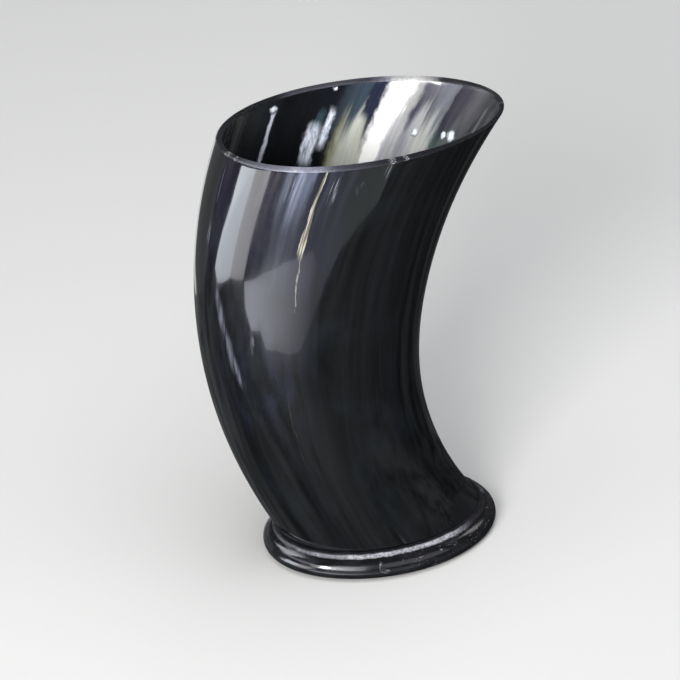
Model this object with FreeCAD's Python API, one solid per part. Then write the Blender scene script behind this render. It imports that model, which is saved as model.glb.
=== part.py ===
"""Drinking beaker made from a curved, flattened animal horn, standing on an oval foot.

The horn bends in the XZ plane, bulging towards -X. Both of its ends are sawn level, so its middle line is
a circular arc that leans as far to -X at the foot as it leans to +X at the mouth. An oval plug closes the
bore, a wider oval foot with a rounded edge is glued underneath, and beads of adhesive seal both joints.
The origin is the middle of the foot's underside, and +Z is up.
"""

import FreeCAD
import Part

import math
import os

Vector = FreeCAD.Vector
up = Vector(0, 0, 1)

# Driving dimensions, in millimetres and degrees.
height = 140.0
foot_thickness = 7.0
foot_overhang = 4.6
foot_top_radius = 3.2
foot_bottom_radius = 2.4
end_lean = 28.2

# Half of the horn's outer size in the plane of its bend, which grows from narrow to wide.
narrow_half = 26.2
wide_half = 35.2
narrow_share = -0.13
wide_share = 1.0

# The horn is flatter across its bend: these are its two half sizes' ratios at the foot and at the mouth.
foot_flatness = 0.743
mouth_flatness = 0.681

# The wall is thicker at the foot than at the mouth, and thicker on the flat sides than on the bend.
bend_wall_foot = 3.2
bend_wall_mouth = 1.5
side_wall_foot = 4.0
side_wall_mouth = 2.5
rim_rounding = 0.45

plug_thickness = 8.0
seal_size = 1.6
bead_width = 1.4
bead_height = 1.2
bead_edge = 0.15

# The lofts run past both sawn ends, measured in shares of the middle line's length.
first_section = -0.18
last_section = 1.3
section_count = 12
outline_points = 48

arc_radius = (height - foot_thickness) / 2 / math.sin(math.radians(end_lean))
middle_height = (height + foot_thickness) / 2
plug_top = foot_thickness + plug_thickness
reach = 2 * height


def between(low, high, share):
    """The value that lies at this share of the way from low to high."""
    return low + (high - low) * share


def lean_at(share):
    """The middle line's angle from upright, in radians, leaning to +X when positive."""
    return math.radians(between(-end_lean, end_lean, share))


def middle_at(share):
    """The point of the middle line at this share of its length."""
    lean = lean_at(share)
    start = math.cos(math.radians(end_lean))
    return Vector(arc_radius * (start - math.cos(lean)), 0, middle_height + arc_radius * math.sin(lean))


def outer_halves(share):
    """The outer section's half sizes: in the plane of the bend, and across it."""
    step = (share - narrow_share) / (wide_share - narrow_share)
    bend = between(narrow_half, wide_half, (1 - math.cos(math.pi * step)) / 2)
    return bend, bend * between(foot_flatness, mouth_flatness, share)


def bore_halves(share):
    """The bore's half sizes at the same section."""
    bend, side = outer_halves(share)
    bend_wall = between(bend_wall_foot, bend_wall_mouth, share)
    side_wall = between(side_wall_foot, side_wall_mouth, share)
    return bend - bend_wall, side - side_wall


def oval(centre, normal, half_x, half_y):
    """A closed elliptical wire. Its first half size lies in the XZ plane and its second along Y."""
    ellipse = Part.Ellipse(Vector(0, 0, 0), half_x, half_y)
    wire = Part.Wire(ellipse.toShape())
    wire.Placement = FreeCAD.Placement(centre, FreeCAD.Rotation(up, normal))
    return wire


def horn_loft(halves):
    """A solid through the horn's sections, square to its middle line and longer than the beaker."""
    wires = []
    for number in range(section_count):
        share = between(first_section, last_section, number / (section_count - 1))
        lean = lean_at(share)
        along = Vector(math.sin(lean), 0, math.cos(lean))
        wires.append(oval(middle_at(share), along, *halves(share)))
    return Part.makeLoft(wires, True)


def level_slab(low, high):
    """A slab of space between two heights, wider than the beaker."""
    return Part.makeBox(reach, reach, high - low, Vector(-reach / 2, -reach / 2, low))


def level_outline(horn, z, grow):
    """The outline of the horn's surface at a height, grown outwards by a distance."""
    edge = horn.slice(up, z)[0].Edges[0]
    middle = edge.BoundBox.Center
    points = []
    for number in range(outline_points):
        along = between(edge.FirstParameter, edge.LastParameter, number / outline_points)
        point = edge.valueAt(along)
        outward = edge.tangentAt(along).cross(up)
        if outward.dot(point - middle) < 0:
            outward = -outward
        points.append(point + outward * grow)
    curve = Part.BSplineCurve()
    curve.interpolate(points, PeriodicFlag=True)
    return Part.Wire(curve.toShape())


def tapered_solid(low_outline, high_outline):
    """A solid with straight sides between two level outlines."""
    return Part.makeLoft([low_outline, high_outline], True, True)


def edges_at_height(shape, z):
    """The edges of a shape that lie wholly at one height."""
    near = 0.01
    return [e for e in shape.Edges if abs(e.BoundBox.ZMin - z) < near and abs(e.BoundBox.ZMax - z) < near]


def make_horn_body(outer, bore):
    """The horn itself: an open tube sawn level at both ends, with a rounded rim."""
    tube = outer.cut(bore).common(level_slab(foot_thickness, height))
    return tube.makeFillet(rim_rounding, edges_at_height(tube, height))


def make_foot_disc(outer):
    """The oval foot, wider than the horn all round, with an edge rounded more above than below."""
    base = outer.slice(up, foot_thickness)[0].BoundBox
    half_x = base.XLength / 2 + foot_overhang
    half_y = base.YLength / 2 + foot_overhang
    outline = oval(Vector(0, 0, 0), up, half_x, half_y)
    disc = Part.Face(outline).extrude(up * foot_thickness)
    disc = disc.makeFillet(foot_top_radius, edges_at_height(disc, foot_thickness))
    return disc.makeFillet(foot_bottom_radius, edges_at_height(disc, 0))


def make_floor_plug(bore):
    """The plug that fills the bore's lower end and is the beaker's floor."""
    return bore.common(level_slab(foot_thickness, plug_top))


def make_floor_seal(bore):
    """The bead of adhesive inside, in the corner between the bore and the floor."""
    seal_top = plug_top + seal_size
    low = level_outline(bore, plug_top, -seal_size)
    high = level_outline(bore, seal_top, -bead_edge)
    return bore.common(level_slab(plug_top, seal_top)).cut(tapered_solid(low, high))


def make_foot_bead(outer):
    """The bead of adhesive outside, where the horn stands on its foot."""
    bead_top = foot_thickness + bead_height
    low = level_outline(outer, foot_thickness, bead_width)
    high = level_outline(outer, bead_top, bead_edge)
    return tapered_solid(low, high).cut(outer)


def export(name, shape):
    """Writes one piece to parts/, after checking that it is a closed solid."""
    solids = shape.Solids
    if len(solids) != 1 or not solids[0].isValid():
        raise ValueError(f"{name} is not one valid solid")
    print(f"{name}: {solids[0].Volume / 1000:.2f} cm3")
    solids[0].exportStep(os.path.join("parts", name + ".step"))


def main():
    os.makedirs("parts", exist_ok=True)
    outer = horn_loft(outer_halves)
    bore = horn_loft(bore_halves)
    export("horn_body", make_horn_body(outer, bore))
    export("foot_disc", make_foot_disc(outer))
    export("floor_plug", make_floor_plug(bore))
    export("floor_seal", make_floor_seal(bore))
    export("foot_glue_bead", make_foot_bead(outer))


main()
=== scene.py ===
"""A polished dark horn beaker on an oval horn foot, in a plain pale studio.

Every piece is made by formula around the CAD model's sizes. Angles around the horn start at +X, on the
inside of its bend, and turn towards +Y. A share is how far along the horn's middle line a point lies: 0 at
the foot and 1 at the mouth. Each horn surface carries the UV map "grain" with U the angle as a part of a turn
and V the share, so that the streaks of its material follow the horn.
"""

import math
from types import SimpleNamespace

import bpy
from mathutils import Matrix, Vector, noise


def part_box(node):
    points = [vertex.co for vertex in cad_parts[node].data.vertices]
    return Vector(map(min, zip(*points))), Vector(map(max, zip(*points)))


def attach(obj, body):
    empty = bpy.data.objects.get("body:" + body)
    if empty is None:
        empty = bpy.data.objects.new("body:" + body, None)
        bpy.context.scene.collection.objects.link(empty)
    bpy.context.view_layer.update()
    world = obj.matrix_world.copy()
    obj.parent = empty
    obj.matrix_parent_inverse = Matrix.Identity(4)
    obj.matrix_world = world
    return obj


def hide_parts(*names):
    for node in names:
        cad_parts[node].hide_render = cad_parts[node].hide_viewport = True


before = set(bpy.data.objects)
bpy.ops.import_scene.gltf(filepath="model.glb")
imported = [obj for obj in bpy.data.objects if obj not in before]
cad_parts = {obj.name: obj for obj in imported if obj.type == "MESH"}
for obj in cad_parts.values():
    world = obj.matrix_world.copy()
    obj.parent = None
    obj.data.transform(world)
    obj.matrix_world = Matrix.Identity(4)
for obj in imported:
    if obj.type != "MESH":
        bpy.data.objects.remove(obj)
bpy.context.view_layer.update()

mm = 0.001
up = Vector((0, 0, 1))
quarter_turn = math.pi / 2

# ----------------------------------------
# Sizes. The horn's shape is the CAD model's: a flattened cone whose middle line is a circular arc.

mouth_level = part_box("horn_body")[1].z
foot_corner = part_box("foot_disc")[1]
foot_top = foot_corner.z
floor_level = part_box("floor_plug")[1].z

end_lean = math.radians(28.2)
arc_radius = (mouth_level - foot_top) / 2 / math.sin(end_lean)
middle_height = (mouth_level + foot_top) / 2
narrow_half, wide_half = 26.2 * mm, 35.2 * mm
narrow_share, wide_share = -0.13, 1.0
foot_flatness, mouth_flatness = 0.743, 0.681
bend_wall_foot, bend_wall_mouth = 3.2 * mm, 1.5 * mm
side_wall_foot, side_wall_mouth = 4.0 * mm, 2.5 * mm
rim_rounding = 0.5 * mm

# The foot's rounded edge: how far each rounding reaches inwards, and how high the lower one reaches.
foot_lower_width, foot_lower_height = 3.2 * mm, 3.0 * mm
foot_upper_width = 4.3 * mm

bead_width, bead_height, bead_skirt = 1.75 * mm, 1.2 * mm, 0.3 * mm
seal_size = 1.6 * mm
plug_dish = 0.5 * mm

# The hand-worked pieces aren't quite even: (height, turns around, turns along, start) of each wave on them.
outer_waves = [
    (0.16 * mm, 2, 0.9, 0.4),
    (0.09 * mm, 3, -1.3, 1.9),
    (0.035 * mm, 5, 2.2, 0.8),
    (0.008 * mm, 11, -2.6, 4.0),
]
inner_waves = [
    (0.12 * mm, 3, 1.1, 2.2),
    (0.06 * mm, 7, -1.7, 0.3),
    (0.03 * mm, 16, 2.4, 1.1),
]
foot_waves = [
    (0.075 * mm, 2, 0, 0.7),
    (0.045 * mm, 5, 0, 2.1),
]
foot_unevenness = sum(wave[0] for wave in foot_waves)
# The seal's waves and the bead's lumps are parts of their sizes. A lump is (height, fineness).
seal_waves = [
    (0.12, 3, 0, 1),
    (0.07, 8, 0, 0),
]
bead_width_lumps = [(0.12, 1.0), (0.08, 3.1)]
bead_height_lumps = [(0.2, 1.0)]
bead_grit = [(0.09 * mm, 3.0), (0.04 * mm, 7.0)]

# How finely the pieces are divided.
around_count = 288
outside_bands, inside_bands = 170, 110
rim_steps, rim_top_steps = 6, 4
foot_lower_steps, foot_upper_steps = 10, 20
bead_count, bead_steps = 576, 9
plug_rings = 12
seal_steps = 8


def between(low, high, share):
    """The value that lies at this share of the way from low to high."""
    return low + (high - low) * share


def wave_height(waves, share, angle):
    """The unevenness of a surface at this place."""
    return sum(
        size * math.sin(turns * angle + 2 * math.pi * rise * share + start)
        for size, turns, rise, start in waves
    )


def section_halves(share, angle, depth):
    """The half sizes of the horn's section, at a depth into its wall from 0, outside, to 1, inside."""
    step = (share - narrow_share) / (wide_share - narrow_share)
    bend = between(narrow_half, wide_half, (1 - math.cos(math.pi * step)) / 2)
    side = bend * between(foot_flatness, mouth_flatness, share)
    bend -= depth * between(bend_wall_foot, bend_wall_mouth, share)
    side -= depth * between(side_wall_foot, side_wall_mouth, share)
    uneven = between(wave_height(outer_waves, share, angle), wave_height(inner_waves, share, angle), depth)
    return bend + uneven, side + uneven


def horn_point(share, angle, depth):
    """The point of the horn at this share, angle and depth into its wall."""
    lean = between(-end_lean, end_lean, share)
    bend, side = section_halves(share, angle, depth)
    out = bend * math.cos(angle)
    x = arc_radius * (math.cos(end_lean) - math.cos(lean)) + out * math.cos(lean)
    z = middle_height + arc_radius * math.sin(lean) - out * math.sin(lean)
    return Vector((x, side * math.sin(angle), z))


def share_at(z, angle, depth):
    """The share at which the horn's surface reaches a height, found by repeated correction."""
    share = 0.5
    corrections = 14
    for _ in range(corrections):
        bend, _side = section_halves(share, angle, depth)
        lean = math.asin((z - middle_height) / (arc_radius - bend * math.cos(angle)))
        share = (lean / end_lean + 1) / 2
    return share


def level_point(z, angle, depth=0.0):
    """The horn's point at a height."""
    return horn_point(share_at(z, angle, depth), angle, depth)


def level_outward(z, angle, depth=0.0):
    """The level direction that points squarely out of the horn at a height."""
    step = 0.01
    along = level_point(z, angle + step, depth) - level_point(z, angle - step, depth)
    return along.cross(up).normalized()


def angles(count=around_count):
    """The angles of the columns of points around the horn."""
    return [2 * math.pi * number / count for number in range(count)]


# ----------------------------------------
# Meshes


def ring_mesh(name, rows, shares, tube=False, slots=None):
    """A closed mesh from rows of points around the beaker, each counter-clockwise from above.

    The last row of a tube joins its first. Otherwise the first and last rows are filled in. shares gives
    each point's V on the UV map, and slots gives each band of faces its material.
    """
    count = len(rows[0])
    points = [point for row in rows for point in row]
    heights = [share for row in shares for share in row]
    faces, corners, materials = [], [], []
    for band in range(len(rows) if tube else len(rows) - 1):
        low, high = band * count, (band + 1) % len(rows) * count
        for column in range(count):
            turn = (column + 1) % count
            left, right = column / count, (column + 1) / count
            faces.append((low + column, low + turn, high + turn, high + column))
            corners += [(left, heights[low + column]), (right, heights[low + turn])]
            corners += [(right, heights[high + turn]), (left, heights[high + column])]
            materials.append(slots[band] if slots else 0)
    ends = [] if tube else [(rows[0], 0, True), (rows[-1], len(points) - count, False)]
    for row, start, faces_down in ends:
        middle = len(points)
        points.append(sum(row, Vector()) / count)
        for column in range(count):
            near, far = start + column, start + (column + 1) % count
            faces.append((middle, far, near) if faces_down else (middle, near, far))
            corners += [(column / count, heights[near])] * 3
            materials.append(0)
    return mesh_piece(name, points, faces, corners, materials)


def mesh_piece(name, points, faces, corners, materials):
    """A smooth mesh object with the UV map "grain"."""
    mesh = bpy.data.meshes.new(name)
    mesh.from_pydata(points, [], faces)
    mesh.update()
    uvs = mesh.uv_layers.new(name="grain")
    uvs.data.foreach_set("uv", [value for corner in corners for value in corner])
    mesh.polygons.foreach_set("material_index", materials)
    mesh.polygons.foreach_set("use_smooth", [True] * len(faces))
    piece = bpy.data.objects.new(name, mesh)
    bpy.context.scene.collection.objects.link(piece)
    return piece


def level_row(z, depth):
    """A row of points of the horn at one height and depth, with their shares."""
    shares = [share_at(z, angle, depth) for angle in angles()]
    return [horn_point(share, angle, depth) for angle, share in zip(angles(), shares)], shares


def wall_rows(low, high, depth, count):
    """Rows of points along a wall of the horn, from one height to another."""
    starts = level_row(low, depth)[1]
    ends = level_row(high, depth)[1]
    rows = []
    for number in range(count + 1):
        shares = [between(start, end, number / count) for start, end in zip(starts, ends)]
        points = [horn_point(share, angle, depth) for angle, share in zip(angles(), shares)]
        rows.append((points, shares))
    return rows


def rim_rows():
    """Rows of points over the rim: its outer rounding, its level top and its inner rounding."""
    edge_depth = rim_rounding / side_wall_mouth
    outer, inner = [], []
    for number in range(rim_steps + 1):
        turn = quarter_turn * number / rim_steps
        z = mouth_level - rim_rounding * (1 - math.sin(turn))
        depth = edge_depth * (1 - math.cos(turn))
        outer.append(level_row(z, depth))
        inner.append(level_row(z, 1 - depth))
    top = []
    for number in range(1, rim_top_steps):
        top.append(level_row(mouth_level, between(edge_depth, 1 - edge_depth, number / rim_top_steps)))
    return outer[1:] + top + inner[::-1]


def make_horn():
    """The horn: outside, rounded rim and bore, sawn level at both ends. Each has its own material."""
    wall_top = mouth_level - rim_rounding
    outside = wall_rows(foot_top, wall_top, 0, outside_bands)
    rim = rim_rows()
    inside = wall_rows(foot_top, wall_top, 1, inside_bands)[-2::-1]
    rows = outside + rim + inside
    slots = [0] * outside_bands + [2] * len(rim) + [1] * (len(inside) + 1)
    return ring_mesh("horn", [row[0] for row in rows], [row[1] for row in rows], tube=True, slots=slots)


def foot_row(inset, z):
    """A level row of points around the foot, this far in from its edge, a little uneven."""
    row = []
    for angle in angles():
        out = wave_height(foot_waves, 0, angle) - foot_unevenness - inset
        half_x, half_y = foot_corner.x + out, foot_corner.y + out
        row.append(Vector((half_x * math.cos(angle), half_y * math.sin(angle), z)))
    return row


def make_foot():
    """The oval foot: flat above and below, its edge rounded, and more widely above."""
    flat_parts = (0.8, 0.55, 0.35)
    flat_insets = [(foot_corner.y - foot_unevenness) * part for part in flat_parts]
    profile = [(inset, 0.0) for inset in flat_insets]
    for number in range(foot_lower_steps):
        turn = quarter_turn * (1 - number / foot_lower_steps)
        profile.append((foot_lower_width * (1 - math.cos(turn)), foot_lower_height * (1 - math.sin(turn))))
    foot_upper_height = foot_top - foot_lower_height
    for number in range(foot_upper_steps + 1):
        turn = quarter_turn * number / foot_upper_steps
        z = foot_lower_height + foot_upper_height * math.sin(turn)
        profile.append((foot_upper_width * (1 - math.cos(turn)), z))
    profile += [(inset, foot_top) for inset in reversed(flat_insets)]
    rows = [foot_row(inset, z) for inset, z in profile]
    return ring_mesh("foot", rows, [[z / foot_top] * around_count for _, z in profile])


def lumpiness(place, lumps):
    """The unevenness of a lumpy surface at a place."""
    return sum(height * noise.noise(place * fineness) for height, fineness in lumps)


def bead_point(angle, turn):
    """A point of the bead's lumpy face, which turns from level at the foot to upright at the horn."""
    lump_circle, fullness = 16, 0.8
    width_place = Vector((math.cos(angle) * lump_circle, math.sin(angle) * lump_circle, 0.3))
    height_place = width_place * 0.7 + up * 5
    z = foot_top + bead_height * (1 + lumpiness(height_place, bead_height_lumps)) * math.sin(turn)
    out = bead_width * (1 + lumpiness(width_place, bead_width_lumps)) * math.cos(turn) ** fullness
    outward = level_outward(z, angle)
    point = level_point(z, angle) + outward * out
    grit = lumpiness(point / mm, bead_grit)
    return point + (outward * math.cos(turn) + up * math.sin(turn)) * grit


def make_foot_bead():
    """The lumpy bead of adhesive in the corner between horn and foot, its skirt sunk in the foot's edge."""
    rows, shares = [], []
    bead_top_share = 0.1
    for number in range(bead_steps + 1):
        rows.append([bead_point(angle, quarter_turn * number / bead_steps) for angle in angles(bead_count)])
        shares.append([number / bead_steps * bead_top_share] * bead_count)
    for point in rows[0]:
        point.z = foot_top - bead_skirt
    depth_in_wall = 0.3
    rows.append([level_point(foot_top, angle, depth_in_wall) for angle in angles(bead_count)])
    shares.append([bead_top_share] * bead_count)
    return ring_mesh("foot_bead", rows, shares, tube=True)


def make_plug():
    """The plug: its top is the floor of the bore, slightly dished."""
    low, low_shares = level_row(foot_top, 1)
    high, high_shares = level_row(floor_level, 1)
    middle = sum(high, Vector()) / len(high)
    rows, shares = [low, high], [low_shares, high_shares]
    for number in range(1, plug_rings):
        inner = number / plug_rings
        sunk = up * plug_dish * (1 - (1 - inner) ** 2)
        rows.append([between(point, middle, inner) - sunk for point in high])
        shares.append([inner] * around_count)
    return ring_mesh("plug", rows, shares)


def seal_point(angle, turn):
    """A point of the seal's hollow face, which turns from level at the floor to upright at the wall."""
    z = floor_level + seal_size * (1 - math.cos(turn))
    inset = seal_size * (1 + wave_height(seal_waves, 0, angle)) * (1 - math.sin(turn))
    return level_point(z, angle, 1) - level_outward(z, angle, 1) * inset


def make_floor_seal():
    """The hollow-faced bead of clear resin in the corner between bore and floor."""
    sunk, depth_in_wall = 0.1 * mm, 0.95
    rows = [[level_point(floor_level - sunk, angle, depth_in_wall) for angle in angles()]]
    for number in range(seal_steps, -1, -1):
        rows.append([seal_point(angle, quarter_turn * number / seal_steps) for angle in angles()])
    shares = [[number / len(rows)] * around_count for number in range(len(rows))]
    return ring_mesh("floor_seal_resin", rows, shares, tube=True)


# ----------------------------------------
# Node helpers. A value is a number, a colour or another node's output.


def new_material(name):
    """An empty node material with its Principled shader."""
    material = bpy.data.materials.new(name)
    material.use_nodes = True
    tree = material.node_tree
    return material, tree, tree.nodes["Principled BSDF"]


def put(tree, socket, value):
    """Links an output to an input, or sets the input's own value."""
    if isinstance(value, bpy.types.NodeSocket):
        tree.links.new(value, socket)
    else:
        socket.default_value = value


def maths(tree, operation, first, second=0.0):
    """The result of a Math node."""
    node = tree.nodes.new("ShaderNodeMath")
    node.operation = operation
    put(tree, node.inputs[0], first)
    put(tree, node.inputs[1], second)
    return node.outputs[0]


def product(tree, *values):
    """The product of several values."""
    result = values[0]
    for value in values[1:]:
        result = maths(tree, "MULTIPLY", result, value)
    return result


def total(tree, first, second):
    """The sum of two values."""
    return maths(tree, "ADD", first, second)


def difference(tree, first, second):
    """The first value less the second."""
    return maths(tree, "SUBTRACT", first, second)


def largest(tree, *values):
    """The greatest of several values."""
    result = values[0]
    for value in values[1:]:
        result = maths(tree, "MAXIMUM", result, value)
    return result


def fade(tree, value, low, high, to_low=0.0, to_high=1.0):
    """Maps a value smoothly from low..high to to_low..to_high."""
    node = tree.nodes.new("ShaderNodeMapRange")
    node.interpolation_type = "SMOOTHSTEP"
    for socket, setting in zip(node.inputs, (value, low, high, to_low, to_high)):
        put(tree, socket, setting)
    return node.outputs["Result"]


def blend(tree, share, first, second):
    """A mix of two colours."""
    node = tree.nodes.new("ShaderNodeMix")
    node.data_type = "RGBA"
    put(tree, node.inputs["Factor"], share)
    for socket, colour in ((node.inputs["A"], first), (node.inputs["B"], second)):
        put(tree, socket, (*colour, 1) if isinstance(colour, tuple) else colour)
    return node.outputs["Result"]


def bands(tree, turn, stops):
    """The colour at this turn, from a row of (degrees, colour) stops."""
    node = tree.nodes.new("ShaderNodeValToRGB")
    elements = node.color_ramp.elements
    while len(elements) < len(stops):
        elements.new(0.5)
    for element, (degrees, colour) in zip(elements, stops):
        element.position = degrees / 360
        element.color = (*colour, 1)
    put(tree, node.inputs["Fac"], turn)
    return node.outputs["Color"]


def stretched(tree, vector, scale):
    """A vector with each of its parts scaled."""
    node = tree.nodes.new("ShaderNodeVectorMath")
    node.operation = "MULTIPLY"
    put(tree, node.inputs[0], vector)
    node.inputs[1].default_value = scale
    return node.outputs[0]


def cloud(tree, place, scale, detail=3.0, rough=0.5, distortion=0.0):
    """Noise from 0 to 1. The scale is one number, or one for each direction."""
    node = tree.nodes.new("ShaderNodeTexNoise")
    scales = scale if isinstance(scale, tuple) else (scale, scale, scale)
    put(tree, node.inputs["Vector"], stretched(tree, place, scales))
    put(tree, node.inputs["Scale"], 1.0)
    put(tree, node.inputs["Detail"], detail)
    put(tree, node.inputs["Roughness"], rough)
    put(tree, node.inputs["Distortion"], distortion)
    return node.outputs[0]


def grain(tree, place, across, along, detail=3.0, rough=0.5, distortion=0.0):
    """Noise with one scale across the horn's grain and another along it."""
    return cloud(tree, place, (across, across, along), detail, rough, distortion)


def centred(tree, value, size):
    """A noise value moved to either side of zero, and scaled."""
    return product(tree, difference(tree, value, 0.5), size)


def specks(tree, vector, scale, size):
    """Small round dots, at most one in each cell, as a mask."""
    node = tree.nodes.new("ShaderNodeTexVoronoi")
    put(tree, node.inputs["Vector"], vector)
    put(tree, node.inputs["Scale"], scale)
    solid_part = 0.6
    return fade(tree, node.outputs["Distance"], size, size * solid_part)


def streak(tree, turn, share, at, half_width, low, high, soft=0.5):
    """The mask of one streak along the grain: its angle and half width in degrees, and its ends' shares."""
    away = maths(tree, "ABSOLUTE", difference(tree, turn, at / 360))
    across = fade(tree, away, half_width / 360, half_width / 360 * (1 - soft))
    end_length = 0.03
    lower = fade(tree, share, low, low + end_length)
    upper = fade(tree, share, high, high - end_length)
    return product(tree, across, product(tree, lower, upper))


def soft_patch(tree, turn, share, at, where, half_turn, half_share):
    """An oval mask that fades from its middle, whose sizes are in degrees and shares."""
    across = maths(tree, "DIVIDE", difference(tree, turn, at / 360), half_turn / 360)
    along = maths(tree, "DIVIDE", difference(tree, share, where), half_share)
    square = total(tree, maths(tree, "POWER", across, 2.0), maths(tree, "POWER", along, 2.0))
    return fade(tree, square, 1.0, 0.0)


def patches(tree, turn, share, shapes):
    """The mask of several soft patches."""
    return largest(tree, *[soft_patch(tree, turn, share, *shape) for shape in shapes])


def bump(tree, height, distance, strength, base=None):
    """The normal of a surface with this relief, over the normal of another relief or of the bare surface."""
    node = tree.nodes.new("ShaderNodeBump")
    put(tree, node.inputs["Height"], height)
    node.inputs["Distance"].default_value = distance
    node.inputs["Strength"].default_value = strength
    if base:
        put(tree, node.inputs["Normal"], base)
    return node.outputs[0]


def grain_place(tree):
    """The angle as a part of a turn, the share, and a seamless place in millimetres of unrolled horn."""
    uv = tree.nodes.new("ShaderNodeUVMap")
    uv.uv_map = "grain"
    split = tree.nodes.new("ShaderNodeSeparateXYZ")
    put(tree, split.inputs[0], uv.outputs[0])
    turn, share = split.outputs[0], split.outputs[1]
    radius, length = 28.0, 138.0
    angle = product(tree, turn, 2 * math.pi)
    join = tree.nodes.new("ShaderNodeCombineXYZ")
    put(tree, join.inputs[0], product(tree, maths(tree, "COSINE", angle), radius))
    put(tree, join.inputs[1], product(tree, maths(tree, "SINE", angle), radius))
    put(tree, join.inputs[2], product(tree, share, length))
    return turn, share, join.outputs[0]


def object_place(tree, per_metre=1000.0):
    """The place on a piece, in millimetres."""
    node = tree.nodes.new("ShaderNodeTexCoord")
    return stretched(tree, node.outputs["Object"], (per_metre, per_metre, per_metre))


def dress(tree, shader, colour, roughness, normal):
    """Gives a shader its colour, roughness and normal."""
    put(tree, shader.inputs["Base Color"], colour)
    put(tree, shader.inputs["Roughness"], roughness)
    put(tree, shader.inputs["Normal"], normal)


def coat(shader, weight, roughness):
    """Gives a shader a clear coat of polish or lacquer."""
    shader.inputs["Coat Weight"].default_value = weight
    shader.inputs["Coat Roughness"].default_value = roughness


# ----------------------------------------
# Colours

black = (0.006, 0.007, 0.008)
ink = (0.010, 0.011, 0.016)
slate = (0.05, 0.07, 0.09)
purple = (0.045, 0.043, 0.065)
cream = (0.52, 0.53, 0.475)
white = (0.96, 0.96, 0.95)

horn_refraction = 1.45

# The colours around the horn, each at its angle in degrees. First the streaks below the rim, outside.
upper_bands = [
    (195, black),
    (199, (0.014, 0.014, 0.021)),
    (203, (0.021, 0.018, 0.028)),
    (208, (0.006, 0.005, 0.01)),
    (211, (0.01, 0.011, 0.014)),
    (224, (0.011, 0.01, 0.011)),
    (226.5, (0.06, 0.056, 0.064)),
    (228.8, (0.008, 0.007, 0.013)),
    (231, (0.04, 0.036, 0.05)),
    (234.0, (0.009, 0.009, 0.018)),
    (237.0, (0.09, 0.1, 0.138)),
    (238.6, (0.035, 0.04, 0.066)),
    (239.8, (0.018, 0.021, 0.044)),
    (241.4, (0.19, 0.21, 0.285)),
    (243.6, (0.16, 0.176, 0.24)),
    (245.2, (0.025, 0.03, 0.055)),
    (247.0, (0.13, 0.148, 0.21)),
    (248.8, (0.004, 0.004, 0.014)),
    (253.2, (0.003, 0.004, 0.01)),
    (255.0, (0.03, 0.033, 0.047)),
    (256.4, (0.004, 0.004, 0.01)),
    (258.2, (0.022, 0.024, 0.036)),
    (260.5, (0.003, 0.003, 0.007)),
    (263.0, (0.013, 0.014, 0.021)),
    (266.0, (0.003, 0.003, 0.005)),
    (270, black),
]
# The paler side at the back, outside.
back_bands = [
    (0, (0.012, 0.012, 0.014)),
    (22, (0.02, 0.02, 0.024)),
    (30, purple),
    (35, (0.13, 0.135, 0.15)),
    (42, (0.26, 0.26, 0.24)),
    (47, (0.05, 0.05, 0.07)),
    (52, (0.34, 0.34, 0.31)),
    (58, (0.62, 0.6, 0.54)),
    (67, (0.55, 0.54, 0.47)),
    (70, slate),
    (75, (0.34, 0.35, 0.3)),
    (80, (0.22, 0.22, 0.15)),
    (86, ink),
    (93, (0.12, 0.13, 0.15)),
    (99, black),
]
# The inside: its dark side, and the rest of it near the mouth and further down.
dark_side_bands = [
    (112, black),
    (128, (0.022, 0.025, 0.028)),
    (150, (0.014, 0.017, 0.015)),
    (210, black),
    (290, ink),
]
mouth_bands = [
    (0, (0.018, 0.019, 0.021)),
    (9, (0.026, 0.027, 0.031)),
    (12.5, (0.055, 0.055, 0.062)),
    (18, (0.075, 0.075, 0.083)),
    (23, (0.055, 0.055, 0.064)),
    (25, (0.034, 0.033, 0.044)),
    (29, (0.04, 0.038, 0.05)),
    (32.5, (0.022, 0.021, 0.032)),
    (34, (0.13, 0.135, 0.155)),
    (38, (0.13, 0.135, 0.165)),
    (42, (0.085, 0.088, 0.105)),
    (44, purple),
    (47, (0.03, 0.03, 0.045)),
    (50.5, (0.045, 0.043, 0.062)),
    (52, (0.3, 0.3, 0.31)),
    (55.7, (0.42, 0.42, 0.42)),
    # A pale streak, painted white as a highlight, up to 67.2 degrees
    (56.3, white),
    (67.2, white),
    (67.8, (0.2, 0.2, 0.27)),
    (69.2, ink),
    (71.5, (0.02, 0.022, 0.04)),
    (73.5, (0.035, 0.05, 0.07)),
    (78, (0.045, 0.065, 0.09)),
    (84, (0.035, 0.05, 0.065)),
    (86.5, ink),
    *dark_side_bands,
    (335, (0.022, 0.022, 0.026)),
    (359, (0.018, 0.019, 0.021)),
]
deep_bands = [
    (0, (0.035, 0.036, 0.037)),
    (17, (0.1, 0.11, 0.11)),
    (27, (0.1, 0.12, 0.115)),
    (31, (0.07, 0.12, 0.11)),
    (33, (0.12, 0.15, 0.14)),
    (34.5, (0.46, 0.47, 0.46)),
    (42, (0.5, 0.51, 0.49)),
    (46, (0.36, 0.37, 0.39)),
    (50, (0.26, 0.27, 0.3)),
    (54, (0.5, 0.5, 0.51)),
    (56, (0.36, 0.36, 0.4)),
    (58.3, (0.5, 0.5, 0.53)),
    # A pale streak, painted white as a highlight, up to 66.8 degrees
    (59, white),
    (66.8, white),
    (67.5, cream),
    (76, (0.51, 0.53, 0.49)),
    (80, (0.4, 0.41, 0.34)),
    (82.3, (0.19, 0.19, 0.11)),
    (84.5, black),
    *dark_side_bands,
    (335, (0.022, 0.022, 0.025)),
    (359, (0.035, 0.036, 0.037)),
]
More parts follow.
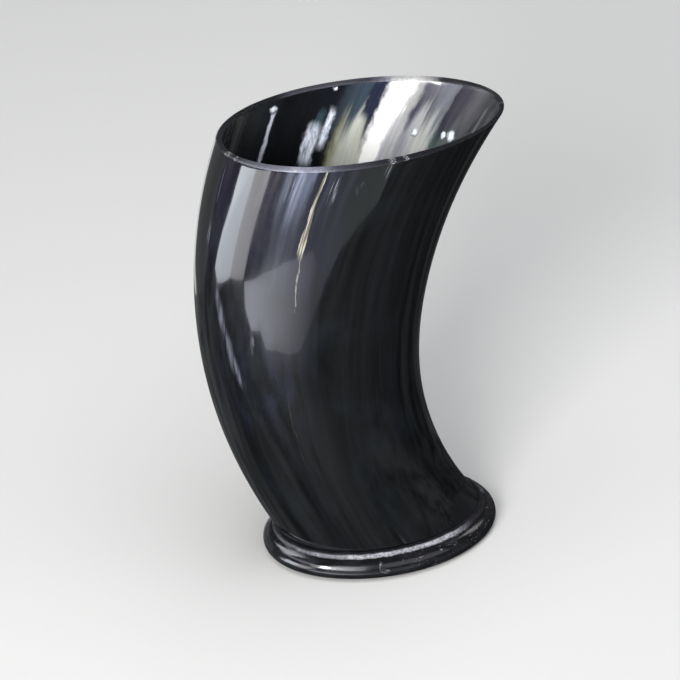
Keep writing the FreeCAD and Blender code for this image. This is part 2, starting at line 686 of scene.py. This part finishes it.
# The horn's layers, seen on its rim.
rim_bands = [
    (0, (0.008, 0.008, 0.009)),
    (14, (0.022, 0.022, 0.025)),
    (30, (0.01, 0.01, 0.012)),
    (38, (0.02, 0.02, 0.024)),
    (46, (0.012, 0.012, 0.016)),
    (50, (0.2, 0.2, 0.2)),
    (58, (0.46, 0.46, 0.45)),
    (66, (0.38, 0.38, 0.39)),
    (72, (0.1, 0.1, 0.13)),
    (78, (0.03, 0.03, 0.04)),
    (90, (0.046, 0.046, 0.057)),
    (112, (0.036, 0.036, 0.045)),
    (119, (0.005, 0.005, 0.006)),
    (150, (0.005, 0.005, 0.006)),
    (165, (0.01, 0.01, 0.011)),
    (203, (0.013, 0.013, 0.015)),
    (214, (0.07, 0.073, 0.09)),
    (232, (0.15, 0.155, 0.19)),
    (240, (0.22, 0.225, 0.28)),
    (248, (0.18, 0.182, 0.23)),
    (255, (0.05, 0.05, 0.066)),
    (266, (0.028, 0.028, 0.036)),
    (274, (0.012, 0.012, 0.015)),
    (292, (0.006, 0.006, 0.008)),
    (340, (0.005, 0.005, 0.006)),
    (359, (0.008, 0.008, 0.009)),
]

# Marks, each with its angle and share, and its half sizes in degrees and shares. Fine scuffs outside:
scuff_patches = [
    (238.5, 0.905, 2.6, 0.035),
    (257.5, 0.925, 3.0, 0.035),
    (269.0, 0.945, 2.5, 0.02),
    (277.0, 1.0, 1.3, 0.03),
    (199.5, 0.86, 2.0, 0.05),
    (197.5, 0.755, 1.8, 0.03),
    (20.0, 1.07, 5.0, 0.04),
    (128.0, 0.90, 4.0, 0.04),
]
# Dried droplets of lacquer inside, each coloured with a painted glint:
drop_and_glint_places = [
    (22.0, 1.008, 3.4, 0.019),
    (27.2, 0.998, 2.0, 0.014),
    (44.5, 0.963, 1.8, 0.012),
    (91.0, 0.988, 1.5, 0.006),
    (118.6, 0.922, 2.6, 0.009),
]
# Chips on the foot's edge, with shares of its height:
foot_chips = [(262.3, 0.70, 1.2, 0.20), (264.4, 0.52, 2.6, 0.14)]
# Worn places on the rim, each with its angle and half width only:
rim_wear = [(196.5, 3.5), (204.0, 1.5), (283.0, 1.4), (277.5, 2.0), (356.0, 1.0), (238.0, 3.0)]


# ----------------------------------------
# Materials. Each layer function takes the colour below it and returns that colour with its layer on top.


def outside_grain(tree):
    """The places and noises that the outside's layers share."""
    turn, share, place = grain_place(tree)
    return SimpleNamespace(
        turn=turn,
        share=share,
        place=place,
        swayed=total(tree, turn, centred(tree, grain(tree, place, 0.5, 0.12), 0.010)),
        long_streaks=grain(tree, place, 0.30, 0.018, detail=4.0, rough=0.6),
        fibres=grain(tree, place, 1.6, 0.05, rough=0.6),
        hairs=grain(tree, place, 5.0, 0.09, detail=2.0, rough=0.6),
        fingers=grain(tree, place, 0.45, 0.025),
        haze=grain(tree, place, 0.09, 0.05, detail=4.0, rough=0.6),
    )


def dark_horn(tree, horn):
    """Black horn with faint long streaks and brown fibres."""
    jet, charcoal = (0.0022, 0.0028, 0.0032), (0.006, 0.0065, 0.009)
    colour = blend(tree, fade(tree, horn.long_streaks, 0.45, 0.75), jet, charcoal)
    colour = blend(tree, fade(tree, horn.haze, 0.5, 0.72, 0.0, 0.6), colour, (0.0065, 0.0085, 0.012))
    return blend(tree, fade(tree, horn.fibres, 0.62, 0.85, 0.0, 0.5), colour, (0.012, 0.008, 0.007))


def upper_streaks(tree, horn, colour):
    """Blue-grey streaks below the rim, on the outside of the bend, which end in fingers lower down."""
    raised = total(tree, horn.share, centred(tree, horn.fingers, 0.16))
    from_angle = fade(tree, horn.turn, 190 / 360, 202 / 360)
    to_angle = fade(tree, horn.turn, 274 / 360, 262 / 360)
    where = product(tree, fade(tree, raised, 0.66, 0.78), from_angle, to_angle)
    streaks = bands(tree, horn.swayed, upper_bands)
    streaks = blend(tree, fade(tree, horn.fibres, 0.4, 0.75, 0.0, 0.65), streaks, (0.004, 0.004, 0.008))
    streaks = blend(tree, fade(tree, horn.share, 0.93, 0.80, 0.0, 0.88), streaks, (0.008, 0.008, 0.016))
    return blend(tree, where, colour, streaks)


def pale_back(tree, horn, colour):
    """The paler streaks of the back, which reach down in long fingers."""
    reach = total(tree, horn.share, centred(tree, horn.fingers, 0.9))
    where = product(tree, fade(tree, reach, 0.30, 0.66), fade(tree, horn.turn, 104 / 360, 92 / 360))
    streaks = bands(tree, horn.swayed, back_bands)
    darker = blend(tree, 0.7, streaks, ink)
    streaks = blend(tree, fade(tree, horn.fibres, 0.35, 0.75, 0.0, 0.7), streaks, darker)
    return blend(tree, where, colour, streaks)


def cream_vein(tree, horn, colour):
    """The one cream vein below the rim, browner in places and narrowing downwards."""
    vein_angle = 251.8
    vein = streak(tree, horn.swayed, horn.share, vein_angle, 1.5, 0.765, 1.3, soft=0.35)
    taper = fade(tree, horn.share, 0.78, 0.96, 0.0, 0.0026)
    away = maths(tree, "ABSOLUTE", difference(tree, horn.swayed, vein_angle / 360))
    vein = product(tree, vein, fade(tree, total(tree, away, taper), 0.0046, 0.0034))
    core = fade(tree, grain(tree, horn.place, 2.6, 0.09), 0.42, 0.58)
    return blend(tree, vein, colour, blend(tree, core, (0.12, 0.105, 0.085), (0.44, 0.42, 0.36)))


def vein_traces(tree, horn, colour):
    """The thin broken thread that the vein runs out in, and a faint brown trace far below it."""
    slant = product(tree, difference(tree, 0.77, horn.share), 0.045)
    thread = streak(tree, difference(tree, horn.swayed, slant), horn.share, 252.4, 0.32, 0.65, 0.80)
    broken = fade(tree, grain(tree, horn.place, 2.2, 0.5), 0.36, 0.5)
    trace = streak(tree, horn.swayed, horn.share, 249.2, 0.9, 0.26, 0.52, soft=0.9)
    trace = product(tree, trace, fade(tree, horn.hairs, 0.5, 0.66, 0.0, 0.8))
    colour = blend(tree, product(tree, thread, broken), colour, (0.17, 0.17, 0.16))
    return blend(tree, trace, colour, (0.06, 0.045, 0.042))


def bluish_mottling_and_painted_reflection(tree, horn, colour):
    """A bluish mottling half way up, and one pale drifting patch of painted reflection with a small spot
    beside it.
    """
    mottled = grain(tree, horn.place, 0.20, 0.07, detail=5.0, rough=0.7, distortion=0.5)
    belly = soft_patch(tree, horn.turn, horn.share, 234, 0.50, 34, 0.20)
    bluish = product(tree, fade(tree, mottled, 0.42, 0.66), belly)
    colour = blend(tree, bluish, colour, (0.010, 0.011, 0.021))
    # A drifting lavender patch of painted reflection, with a small spot of it beside.
    drift = product(tree, difference(tree, 0.55, horn.share), 0.21)
    drifted = difference(tree, horn.swayed, drift)
    painted_reflection_mask = streak(tree, drifted, horn.share, 218.0, 3.6, 0.465, 0.68, soft=1.0)
    spot = soft_patch(tree, horn.swayed, horn.share, 232.5, 0.572, 2.0, 0.026)
    wisps = grain(tree, horn.place, 0.9, 0.10, detail=4.0, rough=0.65)
    painted_reflection_mask = product(tree, largest(tree, painted_reflection_mask, spot), fade(tree, wisps, 0.36, 0.66))
    return blend(tree, painted_reflection_mask, colour, (0.115, 0.120, 0.155))


def outside_scuffs(tree, horn):
    """The masks of the fine scuffs, in their patches and stray ones near the rim, and of specks of dust."""
    worn = patches(tree, horn.turn, horn.share, scuff_patches)
    scuffs = product(tree, worn, fade(tree, horn.hairs, 0.54, 0.68, 0.0, 0.7))
    stray = product(tree, fade(tree, horn.share, 0.80, 0.97), fade(tree, horn.hairs, 0.74, 0.80, 0.0, 0.6))
    return largest(tree, scuffs, stray), specks(tree, horn.place, 0.10, 0.016)


def outside_material():
    """Polished black horn: blue-grey streaks below the rim, one cream vein, and a paler side at the back."""
    material, tree, shader = new_material("horn_outside")
    horn = outside_grain(tree)
    colour = dark_horn(tree, horn)
    for layer in (upper_streaks, pale_back, cream_vein, vein_traces, bluish_mottling_and_painted_reflection):
        colour = layer(tree, horn, colour)
    scuffs, dust = outside_scuffs(tree, horn)
    colour = blend(tree, scuffs, colour, (0.26, 0.27, 0.30))
    colour = blend(tree, dust, colour, (0.45, 0.46, 0.5))
    handled = fade(tree, horn.haze, 0.45, 0.7, 0.0, 0.06)
    polish = total(tree, fade(tree, horn.long_streaks, 0.3, 0.7, 0.05, 0.11), handled)
    marks = product(tree, largest(tree, scuffs, dust), 0.4)
    relief = total(tree, product(tree, horn.fibres, 0.4), grain(tree, horn.place, 0.25, 0.06, detail=2.0))
    dress(tree, shader, colour, total(tree, polish, marks), bump(tree, relief, 0.02 * mm, 0.35))
    shader.inputs["IOR"].default_value = horn_refraction
    coat(shader, 0.4, 0.02)
    return material


def inside_grain(tree):
    """The places and noises that the inside's layers share."""
    turn, share, place = grain_place(tree)
    sway = grain(tree, place, 0.7, 0.22, detail=5.0, rough=0.65)
    return SimpleNamespace(
        turn=turn,
        share=share,
        place=place,
        swayed=total(tree, turn, centred(tree, sway, 0.015)),
        fingers=grain(tree, place, 0.45, 0.02),
        fibres=grain(tree, place, 1.3, 0.035, detail=4.0, rough=0.65),
        hairs=grain(tree, place, 3.0, 0.10, rough=0.6),
        rough_grain=grain(tree, place, 0.9, 0.16, detail=5.0, rough=0.7),
    )


def inside_streaks(tree, horn):
    """The streaks around the inside, which change along a ragged line near the mouth and darken deeper. Their
    white streak is a pale streak painted as a highlight.
    """
    edge = total(tree, horn.share, centred(tree, horn.fingers, 0.30))
    edge = difference(tree, edge, fade(tree, horn.turn, 48 / 360, 67 / 360, 0.055, -0.032))
    deep_colour = bands(tree, horn.swayed, deep_bands)
    colour = blend(tree, fade(tree, edge, 0.90, 1.0), deep_colour, bands(tree, horn.swayed, mouth_bands))
    darker = blend(tree, 0.75, colour, ink)
    shaded = blend(tree, fade(tree, horn.fibres, 0.35, 0.75, 0.0, 0.40), colour, darker)
    # The painted highlight on the white streak is left without the fibres' darker grain
    highlight_band = product(
        tree,
        fade(tree, horn.swayed, 56.0 / 360, 57.5 / 360),
        fade(tree, horn.swayed, 67.5 / 360, 66.5 / 360),
    )
    colour = blend(tree, product(tree, highlight_band, fade(tree, horn.share, 0.3, 0.8)), shaded, colour)
    depth = total(tree, horn.share, centred(tree, horn.fingers, 0.3))
    return blend(tree, fade(tree, depth, 0.72, 0.25, 0.0, 0.8), colour, (0.022, 0.020, 0.018))


def navy_streak(tree, horn, colour):
    """A dark blue streak at the edge of the white ones, near the mouth."""
    navy = streak(tree, horn.swayed, horn.share, 71.3, 4.0, 0.935, 1.3, soft=0.5)
    return blend(tree, navy, colour, (0.020, 0.024, 0.045))


def painted_reflection_patches(tree, horn, colour):
    """Two bluish-white patches of painted reflection on the lacquer, with a bluish gap between them."""
    left = streak(tree, horn.swayed, horn.share, 87.5, 2.6, 0.84, 0.955, soft=0.9)
    right = streak(tree, horn.swayed, horn.share, 93.2, 4.4, 0.80, 0.915, soft=0.6)
    gap = streak(tree, horn.swayed, horn.share, 92.2, 2.6, 0.84, 0.95, soft=0.9)
    ragged = fade(tree, horn.rough_grain, 0.34, 0.60, 0.25, 1.0)
    colour = blend(tree, product(tree, gap, 0.8), colour, (0.04, 0.075, 0.095))
    # The bluish-white patches are painted reflection.
    return blend(tree, product(tree, largest(tree, left, right), ragged), colour, (0.80, 0.86, 1.0))


def painted_highlight_line(tree, horn, colour):
    """A thin pale line of painted highlight below a dried droplet, on the black side."""
    line_mask = streak(tree, horn.swayed, horn.share, 117.6, 1.4, 0.70, 0.93, soft=0.8)
    ragged = fade(tree, horn.rough_grain, 0.30, 0.52, 0.3, 1.0)
    # A painted highlight, drawn as a pale line.
    return blend(tree, product(tree, line_mask, ragged), colour, (0.66, 0.69, 0.80))


def drop_and_glint_mask(tree, horn):
    """The mask of the dried droplets of lacquer and their painted glints, with ragged outlines."""
    warp = grain(tree, horn.place, 1.2, 0.6, rough=0.6)
    warped_turn = total(tree, horn.turn, centred(tree, warp, 0.010))
    warped_share = total(tree, horn.share, centred(tree, horn.rough_grain, 0.012))
    return patches(tree, warped_turn, warped_share, drop_and_glint_places)


def inside_material():
    """Lacquered horn inside: black on one side, and cream, white and slate streaks on the other, with painted
    highlights, glints and reflections.
    """
    material, tree, shader = new_material("horn_inside")
    horn = inside_grain(tree)
    colour = inside_streaks(tree, horn)
    for layer in (navy_streak, painted_reflection_patches, painted_highlight_line):
        colour = layer(tree, horn, colour)
    drops_and_glints = drop_and_glint_mask(tree, horn)
    # The droplets' relief is real; their pale blue colour is a painted glint.
    colour = blend(tree, drops_and_glints, colour, (0.85, 0.92, 1.0))
    relief = total(tree, product(tree, horn.hairs, 0.5), grain(tree, horn.place, 0.5, 0.15))
    scraped = bump(tree, relief, 0.05 * mm, 0.7)
    polish = fade(tree, horn.fibres, 0.3, 0.7, 0.12, 0.3)
    dress(tree, shader, colour, polish, bump(tree, drops_and_glints, 0.5 * mm, 1.0, scraped))
    shader.inputs["IOR"].default_value = horn_refraction
    coat(shader, 0.8, 0.05)
    return material


def rim_material():
    """The smoothed rim shows the horn's layers: dark on most of it, with paler parts and whitish wear."""
    material, tree, shader = new_material("horn_rim")
    turn, share, _ = grain_place(tree)
    solid = object_place(tree)
    layers = cloud(tree, solid, 0.9, detail=4.0, rough=0.65)
    grit = cloud(tree, solid, 3.5, detail=2.0, rough=0.6)
    swayed = total(tree, turn, centred(tree, layers, 0.02))
    colour = bands(tree, swayed, rim_bands)
    colour = blend(tree, fade(tree, layers, 0.40, 0.66, 0.0, 0.6), colour, blend(tree, 0.6, colour, ink))
    worn = largest(tree, *[streak(tree, turn, share, at, half, 0.0, 2.0, soft=0.9) for at, half in rim_wear])
    wear = product(tree, worn, fade(tree, grit, 0.50, 0.62))
    wear = largest(tree, wear, fade(tree, grit, 0.70, 0.78, 0.0, 0.35))
    colour = blend(tree, wear, colour, (0.42, 0.43, 0.46))
    polish = fade(tree, layers, 0.3, 0.7, 0.22, 0.42)
    relief = total(tree, layers, product(tree, grit, 0.3))
    dress(tree, shader, colour, polish, bump(tree, relief, 0.05 * mm, 0.6))
    return material


def foot_material():
    """Black horn with scuffs and small chips on its rounded edge."""
    material, tree, shader = new_material("foot_black_horn")
    turn, height, _ = grain_place(tree)
    place = object_place(tree)
    fibres = cloud(tree, place, (0.12, 0.5, 0.5), detail=4.0, rough=0.6)
    scuffs = cloud(tree, place, (0.7, 0.7, 1.6), detail=5.0, rough=0.7, distortion=0.6)
    scuffed_areas = cloud(tree, place, 0.05, detail=1.0)
    colour = blend(tree, fade(tree, fibres, 0.4, 0.7), (0.003, 0.0032, 0.004), (0.009, 0.009, 0.012))
    marks = product(tree, fade(tree, scuffs, 0.60, 0.70), fade(tree, scuffed_areas, 0.45, 0.6))
    chips = patches(tree, turn, height, foot_chips)
    marks = largest(tree, marks, product(tree, chips, fade(tree, scuffs, 0.44, 0.60, 0.0, 0.8)))
    colour = blend(tree, marks, colour, (0.20, 0.20, 0.225))
    polish = total(tree, fade(tree, fibres, 0.3, 0.7, 0.10, 0.24), product(tree, marks, 0.35))
    dress(tree, shader, colour, polish, bump(tree, total(tree, scuffs, fibres), 0.03 * mm, 0.7))
    coat(shader, 0.4, 0.06)
    return material


def bead_material():
    """Grainy grey-white adhesive, dirty in places, darker against the horn, and with painted shade all round
    but in front.
    """
    material, tree, shader = new_material("grainy_adhesive")
    turn, share, _ = grain_place(tree)
    place = object_place(tree)
    grains = cloud(tree, place, 1.5, detail=5.0, rough=0.75)
    dirty_areas = cloud(tree, place, 0.18, detail=2.0)
    colour = blend(tree, fade(tree, grains, 0.35, 0.62), (0.07, 0.07, 0.08), (0.42, 0.42, 0.46))
    colour = blend(tree, fade(tree, dirty_areas, 0.45, 0.65, 0.0, 0.6), colour, (0.05, 0.05, 0.06))
    ragged = total(tree, share, centred(tree, grains, 0.05))
    # Painted shade on the sides and back, all round but in front, and darker along the top against the horn.
    painted_shade_and_dark_top = largest(
        tree,
        fade(tree, turn, 296 / 360, 326 / 360),
        fade(tree, turn, 240 / 360, 205 / 360, 0.0, 0.82),
        fade(tree, ragged, 0.050, 0.072),
    )
    colour = blend(tree, painted_shade_and_dark_top, colour, (0.006, 0.006, 0.008))
    dress(tree, shader, colour, fade(tree, grains, 0.3, 0.7, 0.7, 0.4), bump(tree, grains, 0.15 * mm, 0.8))
    return material


def plug_material():
    """End-grain horn under lacquer: faint rings around its middle."""
    material, tree, shader = new_material("plug_horn")
    place = object_place(tree)
    uneven = cloud(tree, place, 0.15)
    rings = tree.nodes.new("ShaderNodeTexWave")
    rings.wave_type = "RINGS"
    rings.rings_direction = "Z"
    put(tree, rings.inputs["Vector"], stretched(tree, place, (0.06, 0.10, 0.1)))
    rings.inputs["Scale"].default_value = 1.5
    rings.inputs["Distortion"].default_value = 5.0
    rings.inputs["Detail"].default_value = 3.0
    colour = blend(tree, rings.outputs["Fac"], (0.018, 0.017, 0.016), (0.045, 0.04, 0.036))
    colour = blend(tree, fade(tree, uneven, 0.5, 0.75, 0.0, 0.6), colour, (0.08, 0.07, 0.058))
    dress(tree, shader, colour, fade(tree, uneven, 0.3, 0.7, 0.15, 0.35), bump(tree, uneven, 0.3 * mm, 0.6))
    coat(shader, 0.8, 0.05)
    return material


def resin_material():
    """Cured clear resin over dark horn, a little cloudy, with tiny bubbles."""
    material, tree, shader = new_material("clear_resin")
    place = object_place(tree)
    haze = cloud(tree, place, 0.5)
    colour = blend(tree, fade(tree, haze, 0.4, 0.7), (0.05, 0.046, 0.038), (0.15, 0.14, 0.11))
    colour = blend(tree, specks(tree, place, 1.4, 0.2), colour, (0.4, 0.39, 0.34))
    dress(tree, shader, colour, fade(tree, haze, 0.3, 0.7, 0.08, 0.2), bump(tree, haze, 0.1 * mm, 0.5))
    return material


# ----------------------------------------
# The pieces


def place_piece(piece, slot, node, *materials):
    """Gives a piece its materials and its body, and hides the CAD node that it stands for."""
    for material in materials:
        piece.data.materials.append(material)
    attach(piece, "root")
    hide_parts(node)


place_piece(make_horn(), "horn", "horn_body", outside_material(), inside_material(), rim_material())
place_piece(make_foot(), "foot_horn", "foot_disc", foot_material())
place_piece(make_foot_bead(), "grey_adhesive", "foot_glue_bead", bead_material())
place_piece(make_plug(), "plug_horn", "floor_plug", plug_material())
place_piece(make_floor_seal(), "clear_adhesive", "floor_seal", resin_material())

# ----------------------------------------
# Studio: a pale floor, soft lights, the camera, and what only polished surfaces mirror: a dark ground and
# glowing cards, which stand for a room's windows and walls.

stage_centre = Vector((-8.3, 0, 70)) * mm
card_distance = 1.6

# Each card: its name, its colour, and (azimuth, elevation, brightness) of its corners seen from the beaker.
cards = [
    ("window", (0.88, 0.93, 1.0), [
        (-83, 0, 10.5), (-84, -4, 10.5), (-85, -9, 10.5), (-92, -16, 8.4), (-96, -21, 6.2),
        (-91, -23.5, 5.2), (-73, -22.8, 6.2), (-66, -6, 9.5), (-65, 0, 9.5),
    ]),
    ("window_side", (0.97, 0.975, 1.0), [
        (-65, 0, 5.0), (-66, -6, 5.2), (-73, -22.8, 4.2), (-59, -24, 3.9), (-51, -8, 4.6), (-50, 0, 4.4),
    ]),
    ("ground_glow", (0.88, 0.90, 1.0), [
        (-58, -24.4, 5.2), (-41, -24.8, 4.6), (-27, -25.5, 3.4), (-19, -26.5, 2.4), (-8, -28, 1.3),
        (-3, -31, 0.9), (-3, -36, 0.8), (-12, -38, 1.5), (-29, -37.0, 3.0), (-37, -36.4, 4.0),
        (-42, -33.6, 4.6), (-50, -32.8, 5.0), (-56, -29, 5.2),
    ]),
    ("room", (0.90, 0.97, 1.0), [
        (-38, -4, 0.7), (-3, -4, 0.3), (26, -8, 0.6), (24.4, -34.6, 0.75), (17, -33.4, 0.7),
        (10, -32.7, 0.7), (4, -33.8, 0.75), (-3, -36, 0.8), (-3, -31, 0.7), (-8, -28, 0.5),
        (-19, -26.5, 0.7), (-27, -25.5, 1.1), (-40, -24.8, 1.1),
    ]),
    ("left_wall", (0.95, 1.0, 1.0), [
        (-168, 14, 0.44), (-112, 14, 0.40), (-112, -20, 0.42), (-125, -27, 0.24), (-168, -27, 0.12),
    ]),
    ("lamp", (1.0, 1.0, 1.0), [(-45, 8, 34), (-36, 8, 34), (-36, 27, 34), (-45, 27, 34)]),
    ("front_window", (0.93, 0.95, 1.0), [(-35, 4, 11), (-12, 1, 4), (-10, 38, 1.6), (-35, 38, 5)]),
    ("left_sheen", (0.90, 0.92, 1.0), [(-102, 24, 3.5), (-48, 18, 2.5), (-48, 30, 1.5), (-102, 31, 3.5)]),
    ("high_left", (0.92, 0.95, 1.0), [(-128, 31, 5), (-90, 32, 7.5), (-86, 58, 6), (-128, 58, 4)]),
    ("front_right", (0.93, 0.93, 1.0), [(0, 12, 1.2), (48, 12, 1.0), (48, 44, 0.8), (0, 44, 1.2)]),
    ("back_window", (0.96, 0.98, 1.0), [(183, 14, 1.4), (210, 14, 1.4), (208, -30, 1.0), (183, -30, 1.0)]),
    ("side_window", (1.0, 0.98, 0.95), [(82, 50, 3), (104, 50, 3), (104, 28, 2), (82, 28, 2)]),
]


def direction(azimuth, elevation):
    """The direction from the beaker at this azimuth, 0 towards -Y and 90 towards +X, and elevation."""
    turn, rise = math.radians(azimuth), math.radians(elevation)
    return Vector((math.sin(turn) * math.cos(rise), -math.cos(turn) * math.cos(rise), math.sin(rise)))


def stage_piece(name, points, material):
    """One flat polygon of the studio."""
    mesh = bpy.data.meshes.new(name)
    mesh.from_pydata(points, [], [tuple(range(len(points)))])
    mesh.materials.append(material)
    piece = bpy.data.objects.new(name, mesh)
    bpy.context.scene.collection.objects.link(piece)
    return piece


def square(half, z):
    """The corners of a level square around the origin."""
    return [(-half, -half, z), (half, -half, z), (half, half, z), (-half, half, z)]


def make_floor():
    """A wide pale floor, which polished surfaces don't mirror."""
    material, _, shader = new_material("pale_floor")
    shader.inputs["Base Color"].default_value = (0.52, 0.52, 0.515, 1)
    shader.inputs["Roughness"].default_value = 0.9
    shader.inputs["Specular IOR Level"].default_value = 0.1
    half = 4.0
    floor = stage_piece("floor", square(half, 0), material)
    floor.visible_glossy = False


def glow_material(name, colour):
    """A light that isn't sampled, with its tree and its strength socket."""
    material = bpy.data.materials.new(name)
    material.use_nodes = True
    tree = material.node_tree
    tree.nodes.clear()
    glow = tree.nodes.new("ShaderNodeEmission")
    glow.inputs["Color"].default_value = (*colour, 1)
    output = tree.nodes.new("ShaderNodeOutputMaterial")
    tree.links.new(glow.outputs[0], output.inputs[0])
    material.cycles.emission_sampling = "NONE"
    return material, tree, glow.inputs["Strength"]


def only_mirrored(piece):
    """Shows a piece of the studio in polished surfaces only."""
    piece.visible_camera = False
    piece.visible_diffuse = False
    piece.visible_transmission = False
    piece.visible_shadow = False


def make_mirrored_ground():
    """What polished surfaces mirror instead of the pale floor: dark folds, lit from the left and front."""
    material, tree, strength = glow_material("dark_ground", (0.93, 0.97, 1.0))
    place = object_place(tree, 1.0)
    folds = cloud(tree, place, (0.9, 1.5, 0.9), detail=5.0, rough=0.62, distortion=0.8)
    split = tree.nodes.new("ShaderNodeSeparateXYZ")
    put(tree, split.inputs[0], place)
    lit_side = fade(tree, split.outputs[0], -2.2, 1.0, 2.2, 0.75)
    lit_front = fade(tree, split.outputs[1], -1.7, -0.4, 1.7, 0.55)
    lit = product(tree, lit_side, lit_front)
    put(tree, strength, product(tree, fade(tree, folds, 0.35, 0.66, 0.05, 0.22), lit))
    depth, half = 1.4, 8.0
    only_mirrored(stage_piece("mirrored_ground", square(half, -depth), material))


def make_card(name, colour, corners):
    """A glowing card for polished surfaces, as bright at each corner as that corner says."""
    material, tree, strength = glow_material(name, colour)
    points = [stage_centre + direction(corner[0], corner[1]) * card_distance for corner in corners]
    card = stage_piece(name, points, material)
    brightness = card.data.attributes.new("brightness", "FLOAT", "POINT")
    brightness.data.foreach_set("value", [corner[2] for corner in corners])
    reader = tree.nodes.new("ShaderNodeAttribute")
    reader.attribute_name = "brightness"
    tree.links.new(reader.outputs["Fac"], strength)
    only_mirrored(card)


def make_light(name, azimuth, elevation, distance, size, power, colour):
    """A square soft light that points at the beaker, and that polished surfaces don't mirror."""
    light = bpy.data.lights.new(name, "AREA")
    light.size = size
    light.energy = power
    light.color = colour
    lamp = bpy.data.objects.new(name, light)
    bpy.context.scene.collection.objects.link(lamp)
    away = direction(azimuth, elevation)
    lamp.location = stage_centre + away * distance
    lamp.rotation_euler = away.to_track_quat("Z", "Y").to_euler()
    lamp.visible_glossy = False


def make_world(colour, strength):
    """A plain pale surround."""
    world = bpy.data.worlds.new("surround")
    world.use_nodes = True
    background = world.node_tree.nodes["Background"]
    background.inputs["Color"].default_value = (*colour, 1)
    background.inputs["Strength"].default_value = strength
    bpy.context.scene.world = world


def make_camera(azimuth, elevation, roll, distance, target, lens):
    """The camera, which looks at its target from this direction. Its roll is in degrees too."""
    back = direction(azimuth, elevation)
    level = Vector((math.cos(math.radians(azimuth)), math.sin(math.radians(azimuth)), 0))
    upright = back.cross(level)
    right = level * math.cos(math.radians(roll)) + upright * math.sin(math.radians(roll))
    top = back.cross(right)
    camera = bpy.data.cameras.new("camera")
    camera.lens = lens
    camera.sensor_width = 36.0
    eye = bpy.data.objects.new("camera", camera)
    bpy.context.scene.collection.objects.link(eye)
    turn = Matrix((right, top, back)).transposed().to_4x4()
    eye.matrix_world = Matrix.Translation(target + back * distance) @ turn
    bpy.context.scene.camera = eye


make_floor()
make_mirrored_ground()
for card in cards:
    make_card(*card)
make_light("key", azimuth=-32, elevation=27, distance=1.3, size=0.6, power=24, colour=(1.0, 0.99, 0.97))
make_light("overhead", azimuth=30, elevation=78, distance=1.5, size=1.5, power=30, colour=(0.97, 0.98, 1.0))
make_world((0.95, 0.97, 1.0), 0.12)
target = Vector((-8.29, 0, 69.9)) * mm
make_camera(azimuth=-9.66, elevation=34.0, roll=-3.72, distance=0.9, target=target, lens=167.9)
bpy.context.scene.view_settings.view_transform = "Standard"
